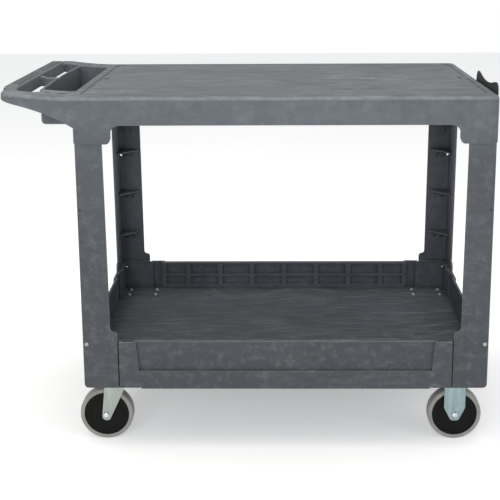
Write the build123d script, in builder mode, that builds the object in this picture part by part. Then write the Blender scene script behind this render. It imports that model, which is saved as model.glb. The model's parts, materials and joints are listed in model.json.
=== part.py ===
from build123d import *
import os
from math import asin, cos, pi, sin

# Rolling utility cart, millimetres. +X runs away from the push handle, +Y is the depth, +Z is up.
# The origin is on the floor under the middle of the whole cart.

# ---- driving dimensions ----
# plan
handle_end = -556.5            # outer face of the grip bar
skirt_end = 553.5              # outer face of the end skirt opposite the handle
half_depth = 332.0             # outer faces of the long skirts and the tub walls
leg_mid = 80.0                 # middle of the four legs along X
leg_half_span = 470.5          # leg_mid to the outer face of a leg along X
leg_half_depth = 329.0         # middle to the outer face of a leg along Y
# heights
deck_top = 835.0
handle_top = 852.0
skirt_bottom = 770.5
seam = 728.5                   # where the sockets end and the legs come out
foot_step = 287.0              # where a leg widens into its foot
tub_rim = 264.0
tub_floor = 189.0
leg_bottom = 148.5             # also the mounting face of the casters
# walls
wall = 6.0                     # shelf and tub walls
leg_wall = 5.0
clearance = 0.3                # between parts that slide together
foot_gap = 3.2                 # between a foot and the tub wall beside it
# sockets and legs
socket_step = 3.0              # how far a socket stands proud of its leg
socket_width = 84.5            # along X
socket_depth = 124.0           # along Y
corner_radius = 22.0           # upright corners of the top shelf
leg_width = 63.5               # flange along X
leg_depth = 105.0              # flange along Y
foot_width = 82.0
foot_depth = 110.0
leg_radius = 12.0              # outer upright corner of a leg
tenon_top = 790.0              # how far a leg goes up into its socket
foot_plate_x = 131.5           # plate under the tub that a caster bolts to
foot_plate_y = 150.0
foot_plate_thickness = 6.0
# handle
grip_width = 33.5
bar_top = 845.0                # the arms and the bar under the raised grip
grip_half = 262.0              # half length of the raised grip
hand_hole_half = 292.0         # half width over both hand holes
strut_half = 13.0
handle_corner_x = 40.0         # the handle's corners are longer along Y than along X
handle_corner_y = 50.0
# storage well
well_outer_x = -478.5
well_inner_x = -397.0
well_half = 246.0
well_bottom = 759.0
well_rim = 838.0               # top of the thin wall next to the hand holes
well_bow = 6.0                 # how far the thin well wall bows towards the grip
# casters
wheel_diameter = 127.0
wheel_width = 32.0
hub_diameter = 107.0
caster_mid_x = 403.7           # caster plate centre, from leg_mid
caster_mid_y = 264.8
caster_trail = 24.0
bolt_pitch_x = 75.0
bolt_pitch_y = 44.5
bolt_diameter = 8.0
plate_thickness = 3.0
fork_gap = 37.0                # between the inner faces of a fork
fork_wall = 3.0
# screws
screw_u = 460.0                # leg screws in the tub walls, from leg_mid
screw_z = 258.0
screw_core = 2.5               # radius of a screw shank and of its hole
tenon_screw_y = 275.0          # screws that hold the tenons in the sockets
tenon_screw_z = 757.0
screw_length = 14.0
# hook plate on the end skirt
hook_thickness = 3.0
hook_screw_z = 806.0
hook_screws_y = (-70.0, -235.0)

os.makedirs("parts", exist_ok=True)
deck_under = deck_top - wall
tub_under = tub_floor - wall
wheel_radius = wheel_diameter / 2
sides = (-1, 1)
over = 10.0                    # how far a cut runs past the material


def block(x0, x1, y0, y1, z0, z1, mode=Mode.ADD):
    """A box between two corners, in the part being built."""
    with Locations(((x0 + x1) / 2, (y0 + y1) / 2, (z0 + z1) / 2)):
        Box(abs(x1 - x0), abs(y1 - y0), abs(z1 - z0), mode=mode)


def save(piece, name):
    """Give the piece its name and write its STEP file."""
    piece.label = name
    export_step(piece, f"parts/{name}.step")


def skirt_cut(mid, half, low, high, bottom_radius=10.0, top_radius=22.0):
    """Outline of the opening between two sockets, seen from the side."""
    return FilletPolyline((mid - half - 30, low - over), (mid - half - 30, low), (mid - half, low),
                          (mid - half, high), (mid + half, high), (mid + half, low),
                          (mid + half + 30, low), (mid + half + 30, low - over),
                          radius=(0, 0, bottom_radius, top_radius, top_radius, bottom_radius, 0, 0), close=True)


# ---- top shelf: deck, skirt, sockets, handle arms, grip bar, strut and well in one moulding ----

front_run = handle_end + handle_corner_x
arc_x = skirt_end - corner_radius
arc_y = half_depth - corner_radius
straight_y = half_depth - handle_corner_y
socket_half_x = leg_half_span + socket_step        # leg_mid to the outer face of a socket
socket_half_y = leg_half_depth + socket_step
socket_x0 = leg_mid - socket_half_x
grip_x1 = handle_end + grip_width
grip_low = 834.0               # the raised grip is sunk this deep into the bar
strut_top = 836.5

with BuildPart(mode=Mode.PRIVATE) as well_solid:
    with BuildSketch(Plane.XY.offset(well_bottom)):
        with BuildLine():
            Polyline((well_outer_x, well_half), (well_inner_x + wall, well_half),
                     (well_inner_x + wall, -well_half), (well_outer_x, -well_half))
            ThreePointArc((well_outer_x, -well_half), (well_outer_x - well_bow, 0), (well_outer_x, well_half))
        make_face()
    extrude(amount=handle_top - well_bottom)
    fillet(well_solid.edges().filter_by(Axis.Z).group_by(Axis.X)[0], radius=10)
    fillet(well_solid.faces().sort_by(Axis.Z)[0].edges().sort_by(Axis.X)[:-1], radius=9.5)

with BuildPart(mode=Mode.PRIVATE) as grip:
    with BuildSketch(Plane.XZ):
        with BuildLine():
            FilletPolyline((handle_end, grip_low), (handle_end, handle_top), (grip_x1, handle_top),
                           (grip_x1, grip_low), radius=(0, 10, 7, 0), close=True)
        make_face()
    extrude(amount=grip_half, both=True)
    with BuildSketch(Plane.YZ):
        with BuildLine():
            FilletPolyline((-grip_half, grip_low), (-grip_half, handle_top), (grip_half, handle_top),
                           (grip_half, grip_low), radius=(0, 8, 8, 0), close=True)
        make_face()
    extrude(amount=800, both=True, mode=Mode.INTERSECT)

channel_x0 = -374.0            # channels across the deck near its ends
channel_x1 = 527.0


def on_outline(edge):
    """Whether an edge of the shelf lies on its outer faces."""
    box = edge.bounding_box()
    on_side = abs(box.max.Y - box.min.Y) < 0.1 and abs(abs(box.min.Y) - half_depth) < 0.1
    on_end = box.max.X > skirt_end - 0.1 or box.min.X < handle_end + 0.1
    return on_side or on_end


def in_hand_hole(edge):
    """Whether an edge is part of the upper rim of a hand hole, away from the well."""
    box = edge.bounding_box()
    in_x = box.min.X > grip_x1 - 0.1 and box.max.X < well_outer_x - 1
    in_y = abs(edge.center().Y) > strut_half - 1 and abs(edge.center().Y) < hand_hole_half + 1
    return in_x and in_y and box.min.Z > deck_top


# what the rounded socket corners below the handle arms lose, under a sloping crease
with BuildPart(mode=Mode.PRIVATE) as socket_corner:
    with BuildSketch(Plane.XY.offset(seam - over)):
        with Locations((socket_x0 - over, half_depth + over)):
            Rectangle(2 * (corner_radius + over), 2 * (corner_radius + over))
        with Locations((socket_x0 + corner_radius, arc_y)):
            Circle(corner_radius, mode=Mode.SUBTRACT)
            Rectangle(200, 2 * over, align=(Align.MIN, Align.MAX), mode=Mode.SUBTRACT)
    extrude(amount=60)
    with BuildSketch(Plane.XZ):
        with BuildLine():
            Polyline((socket_x0 - 40, 790), (socket_x0 - 40, 767.5), (socket_x0, 767.5),
                     (socket_x0 + corner_radius, 755), (socket_x0 + 60, 738), (socket_x0 + 60, 790), close=True)
        make_face()
    extrude(amount=2 * half_depth, both=True, mode=Mode.SUBTRACT)

with BuildPart() as top_shelf:
    with BuildSketch(Plane.XY.offset(seam)):
        with BuildLine():
            Line((front_run, -half_depth), (arc_x, -half_depth))
            CenterArc((arc_x, -arc_y), corner_radius, -90, 90)
            Line((skirt_end, -arc_y), (skirt_end, arc_y))
            CenterArc((arc_x, arc_y), corner_radius, 0, 90)
            Line((arc_x, half_depth), (front_run, half_depth))
            EllipticalCenterArc((front_run, straight_y), handle_corner_x, handle_corner_y, 90, arc_size=90)
            Line((handle_end, straight_y), (handle_end, -straight_y))
            EllipticalCenterArc((front_run, -straight_y), handle_corner_x, handle_corner_y, 180, arc_size=90)
        make_face()
    extrude(amount=handle_top + over - seam)
    # underside of the handle arms
    with BuildSketch(Plane.XZ):
        with BuildLine():
            Polyline((socket_x0, 767.5), (socket_x0, seam - over), (-600, seam - over), (-600, 831),
                     (handle_end, 831))
            CenterArc((handle_end + 5, 831), 5, 180, 90)
            Spline((handle_end + 5, 826), (-500, 813), (-455, 798), (-420, 782.5), (socket_x0, 767.5))
        make_face()
    extrude(amount=2 * half_depth, both=True, mode=Mode.SUBTRACT)
    # openings between the sockets
    with BuildSketch(Plane.XZ):
        with BuildLine():
            skirt_cut(leg_mid, socket_half_x - socket_width, seam, skirt_bottom)
        make_face()
    extrude(amount=2 * half_depth, both=True, mode=Mode.SUBTRACT)
    with BuildSketch(Plane.YZ):
        with BuildLine():
            skirt_cut(0, socket_half_y - socket_depth, seam, skirt_bottom)
        make_face()
    extrude(amount=800, both=True, mode=Mode.SUBTRACT)
    # rounded socket corners below the arms
    add(socket_corner.part, mode=Mode.SUBTRACT)
    add(socket_corner.part.mirror(Plane.XZ), mode=Mode.SUBTRACT)
    # hollow underside of the deck, the sockets and the arms
    block(socket_x0 + wall, skirt_end - wall, -arc_y, arc_y, seam - over, deck_under, mode=Mode.SUBTRACT)
    block(socket_x0 + corner_radius, arc_x, wall - half_depth, half_depth - wall, seam - over, deck_under,
          mode=Mode.SUBTRACT)
    for x in (socket_x0 + corner_radius, arc_x):
        for y in (-arc_y, arc_y):
            with Locations((x, y, seam - over)):
                Cylinder(corner_radius - wall, deck_under - seam + over,
                         align=(Align.CENTER, Align.CENTER, Align.MIN), mode=Mode.SUBTRACT)
    for side in sides:
        block(well_outer_x - 5, socket_x0 - wall, side * (well_half + wall), side * (half_depth - wall),
              seam, deck_under, mode=Mode.SUBTRACT)
    # socket walls round the tenons of the legs, and the stops above them
    inner_x = leg_half_span - socket_step - leg_wall - 2 * clearance
    inner_y = leg_half_depth - socket_step - leg_wall - 2 * clearance
    for x_side in sides:
        for y_side in sides:
            x0 = leg_mid + x_side * (socket_half_x - socket_width)
            x1 = leg_mid + x_side * inner_x
            x2 = leg_mid + x_side * (socket_half_x - wall)
            y0 = y_side * (socket_half_y - socket_depth)
            y1 = y_side * inner_y
            y2 = y_side * (socket_half_y - wall)
            rib = 4.0
            clear = 12.0           # beside the tenon's rounded inner corner
            block(x0, x1 - x_side * clear, y1, y1 - y_side * rib, seam + over, deck_under)
            block(x1, x1 - x_side * rib, y0, y1 - y_side * clear, seam + over, deck_under)
            block(x0, x0 + x_side * rib, y1, y2, seam + over, deck_under)
            block(x1, x2, y0, y0 + y_side * rib, seam + over, deck_under)
            block(x0, leg_mid + x_side * (socket_half_x - corner_radius), y1, y2, tenon_top, deck_under)
            block(x1, x2, y0, y_side * arc_y, tenon_top, deck_under)
    # ribs under the deck
    rib_low = deck_under - 26
    for y in (-200, -100, 0, 100, 200):
        block(socket_x0 + wall, skirt_end - wall, y - 2, y + 2, rib_low, deck_under)
    for x in (-240, -80, 80, 240, 400):
        block(x - 2, x + 2, wall - half_depth, half_depth - wall, rib_low, deck_under)
    # hand holes, one each side of the strut
    for side in sides:
        with BuildSketch(Plane.XY.offset(seam)):
            with BuildLine():
                FilletPolyline((grip_x1, side * strut_half), (grip_x1, side * hand_hole_half),
                               (well_outer_x + 3, side * hand_hole_half), (well_outer_x + 3, side * strut_half),
                               radius=(16, 18, 28, 0), close=True)
            make_face()
        extrude(amount=200, mode=Mode.SUBTRACT)
    block(grip_x1 - 1, well_outer_x, -strut_half, strut_half, seam, 822, mode=Mode.SUBTRACT)
    # storage well, open at the top
    add(well_solid.part)
    with BuildSketch(Plane.XY.offset(well_bottom + 4)):
        with BuildLine():
            FilletPolyline((well_outer_x + wall, well_half - wall), (well_inner_x, well_half - wall),
                           (well_inner_x, wall - well_half), (well_outer_x + wall, wall - well_half),
                           radius=(12, 12))
            ThreePointArc((well_outer_x + wall, wall - well_half), (well_outer_x - well_bow + 4.5, 0),
                          (well_outer_x + wall, well_half - wall))
        make_face()
    extrude(amount=200, mode=Mode.SUBTRACT)
    # top surface: flat deck, then a sweep up to the bar
    with BuildSketch(Plane.XZ):
        with BuildLine():
            Line((700, deck_top), (-385, deck_top))
            Spline((-385, deck_top), (-420, 836), (-440, 837), (-460, 838.8), (-488, 841.7), (-505, 843.8),
                   (-526, bar_top - 0.3), (-570, bar_top), tangents=((-1, 0), (-1, 0)))
            Polyline((-570, bar_top), (-570, 900), (700, 900), (700, deck_top))
        make_face()
    extrude(amount=2 * half_depth, both=True, mode=Mode.SUBTRACT)
    # rounded rim of the whole top, then of the hand holes
    rim = [edge for edge in top_shelf.edges() if on_outline(edge) and edge.bounding_box().min.Z > deck_top - 0.1]
    fillet(rim, radius=10)
    hole_rim = [edge for edge in top_shelf.edges() if in_hand_hole(edge)]
    fillet(hole_rim, radius=6)
    # the well's outer wall and the strut are lower than the bar
    with BuildSketch(Plane.YZ.offset(well_outer_x - well_bow - 2)):
        Polygon((-grip_half, bar_top), (-235, well_rim), (235, well_rim), (grip_half, bar_top),
                (grip_half, 900), (-grip_half, 900), align=None)
    extrude(amount=well_bow + 14, mode=Mode.SUBTRACT)
    with BuildSketch(Plane.XZ):
        Polygon((grip_x1, bar_top - 3), (grip_x1 + 7, strut_top + 1), (grip_x1 + 14, strut_top),
                (well_outer_x - 1, strut_top), (well_outer_x - 1, 900), (grip_x1, 900), align=None)
    extrude(amount=strut_half + 1, both=True, mode=Mode.SUBTRACT)
    # raised grip along the bar
    add(grip.part)
    # shallow channels near both ends of the deck, thin grooves along its long sides
    with BuildSketch(Plane.XY.offset(deck_top)):
        for x in (channel_x0, channel_x1):
            with Locations((x, 0)):
                SlotOverall(2 * 285, 11, rotation=90)
    extrude(amount=-2, mode=Mode.SUBTRACT)
    for side in sides:
        for x0, x1 in ((-330, 206), (228, 490)):
            block(x0, x1, side * 313, side * 315.5, deck_top - 1.5, deck_top + 1, mode=Mode.SUBTRACT)
    # half-round notches beside the channels
    with BuildSketch(Plane.XY.offset(deck_top)):
        for x in (channel_x0 + 10, channel_x1 - 9.5):
            for y in (0, 300):
                with Locations((x, y)):
                    Rectangle(16, 10)
                with Locations((x, y - 5)):
                    Circle(8)
    extrude(amount=-4, mode=Mode.SUBTRACT)
    # tool holes through the handle arms
    with BuildSketch(Plane.XY.offset(handle_top)):
        with Locations((-453, 283), (-453, -283)):
            Circle(5.8)
        with Locations((-418, 283), (-418, -283)):
            SlotOverall(21, 10)
    extrude(amount=-60, mode=Mode.SUBTRACT)
    # ribbed grips with a ringed collar between them
    for x in (-546, -541.5, -537, -532.5, -528):
        for side in sides:
            block(x - 1.1, x + 1.1, side * 18, side * 240, handle_top - 2.5, handle_top + 5, mode=Mode.SUBTRACT)
    for y in (-12, 0, 12):
        block(handle_end + 9, grip_x1 - 6, y - 2, y + 2, handle_top - 1, handle_top + 1.2)
    # screw holes: tenons, and the hook plate on the end skirt
    for x_side in sides:
        for y_side in sides:
            end = Plane((leg_mid + x_side * (socket_half_x + 2), y_side * tenon_screw_y, tenon_screw_z),
                        z_dir=(-x_side, 0, 0))
            with Locations(end):
                Cylinder(screw_core, 20, align=(Align.CENTER, Align.CENTER, Align.MIN), mode=Mode.SUBTRACT)
    for y in hook_screws_y:
        with Locations(Plane((skirt_end + 2, y, hook_screw_z), z_dir=(-1, 0, 0))):
            Cylinder(screw_core, 14, align=(Align.CENTER, Align.CENTER, Align.MIN), mode=Mode.SUBTRACT)
save(top_shelf.part, "top_shelf")


# ---- bottom tub: tray with recessed outer panels, an inner rib grid and bosses for the caster bolts ----

tub_half = leg_half_span - foot_width - foot_gap   # leg_mid to the end of the wall between two feet
tub_half_y = leg_half_depth - foot_depth - foot_gap
corner_out_x = leg_half_span - leg_wall - clearance   # tub faces behind the leg flanges
corner_out_y = leg_half_depth - leg_wall - clearance
panel_top_half = 347.0         # half lengths of the recessed panel at the rim and at its lower edge
panel_low_half = 340.0
panel_low = 192.0
panel_depth = 7.5
grid_half = 352.0              # half length of the thick wall that carries the rib grid
grid_face = 312.0              # inner face of that wall
pocket_depth = 9.0
pocket_rows = ((199.0, 222.0), (230.0, 256.5))
pocket_pitch = 92.3
pocket_width = 78.5
caster_bolts = [(x, y) for x in (-bolt_pitch_x / 2, bolt_pitch_x / 2) for y in (-bolt_pitch_y / 2, bolt_pitch_y / 2)]
casters = [(x_side, y_side) for x_side in sides for y_side in sides]


def bolt_places(x_side, y_side):
    """The four bolt centres of one caster."""
    return [(leg_mid + x_side * caster_mid_x + x, y_side * caster_mid_y + y) for x, y in caster_bolts]


def stepped_outline(long_x, long_y, short_x, short_y, mid_x, mid_y):
    """A rectangle with its corners set in, centred on the legs."""
    quarter = [(mid_x, long_y), (mid_x, short_y), (short_x, short_y), (short_x, mid_y), (long_x, mid_y)]
    right = quarter + [(x, -y) for x, y in reversed(quarter)]
    whole = right + [(-x, y) for x, y in reversed(right)]
    return Polyline([(leg_mid + x, y) for x, y in whole], close=True)


with BuildPart() as bottom_tub:
    with BuildSketch(Plane.XY.offset(leg_bottom + 1)):
        with BuildLine():
            stepped_outline(leg_half_span, half_depth, corner_out_x, corner_out_y, tub_half, tub_half_y)
        make_face()
    extrude(amount=tub_rim - leg_bottom - 1)
    corners = bottom_tub.edges().filter_by(Axis.Z).filter_by(
        lambda edge: abs(abs(edge.center().X - leg_mid) - corner_out_x) < 0.1
        and abs(abs(edge.center().Y) - corner_out_y) < 0.1)
    fillet(corners, radius=leg_radius - leg_wall)
    # tray and underside
    with BuildSketch(Plane.XY.offset(tub_floor)) as tray:
        with BuildLine():
            stepped_outline(leg_half_span - wall, half_depth - wall, corner_out_x - wall, corner_out_y - wall,
                            tub_half - wall, tub_half_y - wall)
        make_face()
    extrude(amount=tub_rim, mode=Mode.SUBTRACT)
    extrude(tray.sketch.moved(Location((0, 0, tub_under - tub_floor))), amount=-100, mode=Mode.SUBTRACT)
    # thick walls with recessed panels outside and two rows of pockets inside
    for side in sides:
        block(leg_mid - grid_half, leg_mid + grid_half, side * grid_face, side * (half_depth - wall),
              tub_floor, tub_rim)
        with BuildSketch(Plane.XZ.offset(-side * half_depth)):
            with Locations((leg_mid, 0)):
                Polygon((-panel_low_half, panel_low), (panel_low_half, panel_low),
                        (panel_top_half, tub_rim + over), (-panel_top_half, tub_rim + over), align=None)
        extrude(amount=side * panel_depth, mode=Mode.SUBTRACT)
        for z0, z1 in pocket_rows:
            for column in range(-4, 4):
                x0 = leg_mid + (column + 0.5) * pocket_pitch - pocket_width / 2
                x1 = x0 + pocket_width
                if column == -4:
                    x0 = leg_mid - panel_low_half
                if column == 3:
                    x1 = leg_mid + panel_low_half
                block(x0, x1, side * (grid_face - 1), side * (grid_face + pocket_depth), z0, z1,
                      mode=Mode.SUBTRACT)
        # snap tabs beside the grid
        for x_side in sides:
            tab = leg_mid + x_side * (grid_half + 5)
            block(tab - 5, tab + 5, side * (half_depth - wall - 3), side * (half_depth - wall), tub_floor, 236)
            block(tab - 2, tab + 2, side * (half_depth - wall - 4), side * (half_depth - wall - 2.5),
                  tub_floor, 231, mode=Mode.SUBTRACT)
    # recessed panels of the end walls
    for side in sides:
        x_out = leg_mid + side * leg_half_span
        block(x_out - side * (wall + 5), x_out - side * wall, -165, 165, tub_floor, tub_rim)
        with BuildSketch(Plane.YZ.offset(x_out)):
            Polygon((-153, panel_low), (153, panel_low), (160, tub_rim + over), (-160, tub_rim + over), align=None)
        extrude(amount=-side * 5, mode=Mode.SUBTRACT)
    # the walls end above the foot plates of the legs, and a groove runs up behind each gap beside a foot
    clear_x = leg_half_span - foot_plate_x - 2.5
    clear_y = leg_half_depth - foot_plate_y - 2.5
    clear_z = leg_bottom + foot_plate_thickness + 1
    for x_side, y_side in casters:
        block(leg_mid + x_side * clear_x, leg_mid + x_side * 500, y_side * clear_y, y_side * 400,
              leg_bottom, clear_z, mode=Mode.SUBTRACT)
        block(leg_mid + x_side * tub_half, leg_mid + x_side * (tub_half + foot_gap),
              y_side * (corner_out_y - wall / 2), y_side * half_depth, leg_bottom, tub_rim - 4,
              mode=Mode.SUBTRACT)
    # bosses and ribs under the floor
    for x_side, y_side in casters:
        with BuildSketch(Plane.XY.offset(leg_bottom + foot_plate_thickness)):
            with Locations(bolt_places(x_side, y_side)):
                Circle(11)
        extrude(amount=tub_under - leg_bottom - foot_plate_thickness)
    for y in (-110, 110):
        block(leg_mid - 464, leg_mid + 464, y - 2.5, y + 2.5, 160, tub_under)
    for x in (-260, -90, 80, 250, 420):
        block(x - 2.5, x + 2.5, -326, 326, 165, tub_under)
    for x_side, y_side in casters:
        with Locations([(x, y, leg_bottom) for x, y in bolt_places(x_side, y_side)]):
            Cylinder(bolt_diameter / 2 + 0.2, 60, align=(Align.CENTER, Align.CENTER, Align.MIN),
                     mode=Mode.SUBTRACT)
    # holes for the leg screws, and a sight hole in each back corner
    for x_side, y_side in casters:
        with Locations(Plane((leg_mid + x_side * screw_u, y_side * half_depth, screw_z), z_dir=(0, -y_side, 0))):
            Cylinder(screw_core, 18, align=(Align.CENTER, Align.CENTER, Align.MIN), mode=Mode.SUBTRACT)
    for x_side in sides:
        with Locations(Plane((leg_mid + x_side * 456.5, 290, 247.5), z_dir=(0, 1, 0))):
            Cylinder(2.6, 60, align=(Align.CENTER, Align.CENTER, Align.MIN), mode=Mode.SUBTRACT)
    # softened rim
    fillet(bottom_tub.faces().filter_by(Axis.Z).sort_by(Axis.Z)[-1].edges(), radius=1.5)
save(bottom_tub.part, "bottom_tub")


# ---- legs: L-section with cross ribs, a tenon at the top and a foot with a caster plate ----

def leg_piece(x_side, y_side, name):
    """One leg, at its corner of the cart."""

    def across(u):
        return leg_mid + x_side * u

    def flange_block(u0, u1, v0, v1, z0, z1, mode=Mode.ADD):
        block(across(u0), across(u1), y_side * v0, y_side * v1, z0, z1, mode=mode)

    out_x = leg_half_span
    out_y = leg_half_depth
    foot_x = out_x - foot_width
    foot_y = out_y - foot_depth
    with BuildPart() as leg:
        # L-section column, as wide as the foot, with a rounded outer corner
        with BuildSketch(Plane.XY.offset(leg_bottom)):
            with BuildLine():
                outline = [(foot_x, out_y), (out_x, out_y), (out_x, foot_y), (out_x - leg_wall, foot_y),
                           (out_x - leg_wall, out_y - leg_wall), (foot_x, out_y - leg_wall)]
                FilletPolyline([(across(u), y_side * v) for u, v in outline],
                               radius=(0, leg_radius, 0, 0, leg_radius - leg_wall, 0), close=True)
            make_face()
        extrude(amount=seam - leg_bottom)
        # above the step the front flange is narrower and widens slightly downwards
        with BuildSketch(Plane.XZ):
            with BuildLine():
                step = [(foot_x - over, seam + over), (out_x - leg_width + 1, seam + over),
                        (out_x - leg_width - 3, foot_step), (foot_x, foot_step), (foot_x, foot_step - 15),
                        (foot_x - over, foot_step - 15)]
                FilletPolyline([(across(u), z) for u, z in step], radius=(0, 0, 8, 8, 0, 0), close=True)
            make_face()
        extrude(amount=2 * half_depth, both=True, mode=Mode.SUBTRACT)
        # the side flange does the same
        with BuildSketch(Plane.YZ):
            with BuildLine():
                step = [(foot_y - over, seam + over), (out_y - leg_depth - 6, seam + over),
                        (out_y - leg_depth + 12, foot_step), (foot_y, foot_step), (foot_y, foot_step - 15),
                        (foot_y - over, foot_step - 15)]
                FilletPolyline([(y_side * v, z) for v, z in step], radius=(0, 0, 8, 8, 0, 0), close=True)
            make_face()
        extrude(amount=800, both=True, mode=Mode.SUBTRACT)
        # tenon inside the socket
        tenon_x = out_x - socket_step - clearance
        tenon_y = out_y - socket_step - clearance
        flange_block(out_x - leg_width + 1, tenon_x, tenon_y - leg_wall, tenon_y, seam - 2, tenon_top)
        flange_block(tenon_x - leg_wall, tenon_x, out_y - leg_depth - 6, tenon_y, seam - 2, tenon_top)
        flange_block(tenon_x - 18, tenon_x + 1, tenon_y - 18, tenon_y + 1, seam, tenon_top + 1, Mode.SUBTRACT)
        with BuildSketch(Plane.XY.offset(seam - 2)):
            with BuildLine():
                outline = [(tenon_x - 20, tenon_y), (tenon_x, tenon_y), (tenon_x, tenon_y - 20),
                           (tenon_x - leg_wall, tenon_y - 20), (tenon_x - leg_wall, tenon_y - leg_wall),
                           (tenon_x - 20, tenon_y - leg_wall)]
                FilletPolyline([(across(u), y_side * v) for u, v in outline],
                               radius=(0, 16.5, 0, 0, 11.5, 0), close=True)
            make_face()
        extrude(amount=tenon_top - seam + 2)
        # triangular cross ribs with gussets under them
        inner_x = out_x - leg_wall
        inner_y = out_y - leg_wall
        for z, gusset in ((708, 76), (590, 22), (472, 22), (354, 22)):
            with BuildSketch(Plane.XY.offset(z)):
                with BuildLine():
                    shape = [(inner_x + 1, inner_y + 1), (inner_x + 1, inner_y - 60), (inner_x - 5, inner_y - 60),
                             (inner_x - 52, inner_y - 7), (inner_x - 52, inner_y + 1)]
                    Polyline([(across(u), y_side * v) for u, v in shape], close=True)
                make_face()
            extrude(amount=3.5)
            for u, reach in ((inner_x - 17, 30), (inner_x - 34, 18)):
                with BuildSketch(Plane.YZ.offset(across(u))):
                    with BuildLine():
                        Polyline([(y_side * (inner_y + 1), z), (y_side * (inner_y - reach), z),
                                  (y_side * (inner_y + 1), z - gusset)], close=True)
                    make_face()
                extrude(amount=1.5, both=True)
        # ledge that rests on the tub's rim
        flange_block(foot_x, inner_x + 1, inner_y - 12, inner_y + 1, tub_rim, tub_rim + 4)
        flange_block(inner_x - 12, inner_x + 1, foot_y, inner_y - 12, tub_rim, tub_rim + 4)
        # foot plate under the tub
        plate_top = leg_bottom + foot_plate_thickness
        flange_block(out_x - foot_plate_x, inner_x + 1, out_y - foot_plate_y, inner_y + 1, leg_bottom, plate_top)
        flange_block(out_x - foot_plate_x, foot_x + 1, inner_y, out_y, leg_bottom, plate_top)
        # holes: cross-bolt hole high up, leg screws, sight hole, caster bolts
        high = Plane((across(out_x - 8.3), y_side * (out_y + 10), 577), z_dir=(0, -y_side, 0))
        low = Plane((across(screw_u), y_side * (out_y + 10), screw_z), z_dir=(0, -y_side, 0))
        top = Plane((across(out_x + 10), y_side * tenon_screw_y, tenon_screw_z), z_dir=(-x_side, 0, 0))
        for place, radius in ((high, 2.8), (low, screw_core), (top, screw_core)):
            with Locations(place):
                Cylinder(radius, 30, align=(Align.CENTER, Align.CENTER, Align.MIN), mode=Mode.SUBTRACT)
        if y_side > 0:
            with Locations(Plane((across(456.5), out_y + 10, 247.5), z_dir=(0, -1, 0))):
                Cylinder(2.6, 30, align=(Align.CENTER, Align.CENTER, Align.MIN), mode=Mode.SUBTRACT)
        with Locations([(x, y, leg_bottom - 1) for x, y in bolt_places(x_side, y_side)]):
            Cylinder(bolt_diameter / 2 + 0.2, 12, align=(Align.CENTER, Align.CENTER, Align.MIN),
                     mode=Mode.SUBTRACT)
        # rounded lower corner, long and shallow seen from the front and small seen from the end
        for plane, middle, corner, side, run, rise in ((Plane.XZ, leg_mid, out_x, x_side, 22, 10),
                                                       (Plane.YZ, 0, out_y, y_side, 6, 6)):
            arc = [(corner - run + run * sin(turn), leg_bottom + rise - rise * cos(turn))
                   for turn in [step * pi / 16 for step in range(9)]]
            rest = [arc[-1], (corner + 20, leg_bottom + rise), (corner + 20, 100), (corner - run, 100), arc[0]]
            with BuildSketch(plane):
                with BuildLine():
                    Spline([(middle + side * u, z) for u, z in arc], tangents=((side, 0), (0, 1)))
                    Polyline([(middle + side * u, z) for u, z in rest])
                make_face()
            extrude(amount=800, both=True, mode=Mode.SUBTRACT)
    save(leg.part, name)


leg_names = {(-1, -1): "leg_front_left", (-1, 1): "leg_back_left",
             (1, -1): "leg_front_right", (1, 1): "leg_back_right"}
for (x_side, y_side), name in leg_names.items():
    leg_piece(x_side, y_side, name)


# ---- hook plate on the end skirt ----

with BuildPart() as end_hook:
    with BuildSketch(Plane.YZ.offset(skirt_end)):
        with BuildLine():
            Spline((-19, 832), (-34, 854), (-79, 851.5), (-116, 846), (-167, 844.6), (-208, 848), (-246, 854),
                   (-278, 852.5), (-286, 838))
            FilletPolyline((-286, 838), (-286, 795), (-19, 795), (-19, 832), radius=(12, 12))
        make_face()
    extrude(amount=hook_thickness)
    for y in hook_screws_y:
        with Locations(Plane((skirt_end - 1, y, hook_screw_z), z_dir=(1, 0, 0))):
            Cylinder(screw_core, 6, align=(Align.CENTER, Align.CENTER, Align.MIN), mode=Mode.SUBTRACT)
    fillet(end_hook.faces().filter_by(Axis.X).sort_by(Axis.X)[-1].outer_wire().edges(), radius=1)
save(end_hook.part, "end_hook")


# ---- screws, caster bolts, washers and nuts: one node for each kind ----

def turned(profile, rise=0):
    """A solid of revolution about Z from (radius, z) points, closed with a domed top if it has a rise."""
    with BuildPart(mode=Mode.PRIVATE) as piece:
        with BuildSketch(Plane.XZ):
            with BuildLine():
                Polyline(*profile)
                if rise:
                    radius, z = profile[-1]
                    dome_radius = (radius ** 2 + rise ** 2) / (2 * rise)
                    half_angle = asin(radius / dome_radius) / 2
                    middle = (dome_radius * sin(half_angle), z + rise - dome_radius * (1 - cos(half_angle)))
                    ThreePointArc((radius, z), middle, (0, z + rise))
                    Line((0, z + rise), profile[0])
                else:
                    Line(profile[-1], profile[0])
            make_face()
        revolve(axis=Axis.Z)
    return piece.part


# pan head screw standing on z = 0, its head above
pan_screw = turned([(0, -screw_length), (screw_core - 0.6, -screw_length), (screw_core - 0.1, -screw_length + 2),
                    (screw_core - 0.1, 0), (4.7, 0), (4.7, 0.8)], rise=1.9)

with BuildPart() as tenon_screws:
    for x_side, y_side in casters:
        with Locations(Plane((leg_mid + x_side * socket_half_x, y_side * tenon_screw_y, tenon_screw_z),
                             z_dir=(x_side, 0, 0))):
            add(pan_screw)
save(tenon_screws.part, "tenon_screws")

with BuildPart() as leg_screws:
    for x_side, y_side in casters:
        with Locations(Plane((leg_mid + x_side * screw_u, y_side * leg_half_depth, screw_z),
                             z_dir=(0, y_side, 0))):
            add(pan_screw)
save(leg_screws.part, "leg_screws")

with BuildPart() as hook_screws:
    for y in hook_screws_y:
        with Locations(Plane((skirt_end + hook_thickness, y, hook_screw_z), z_dir=(1, 0, 0))):
            add(pan_screw)
save(hook_screws.part, "hook_screws")

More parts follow.
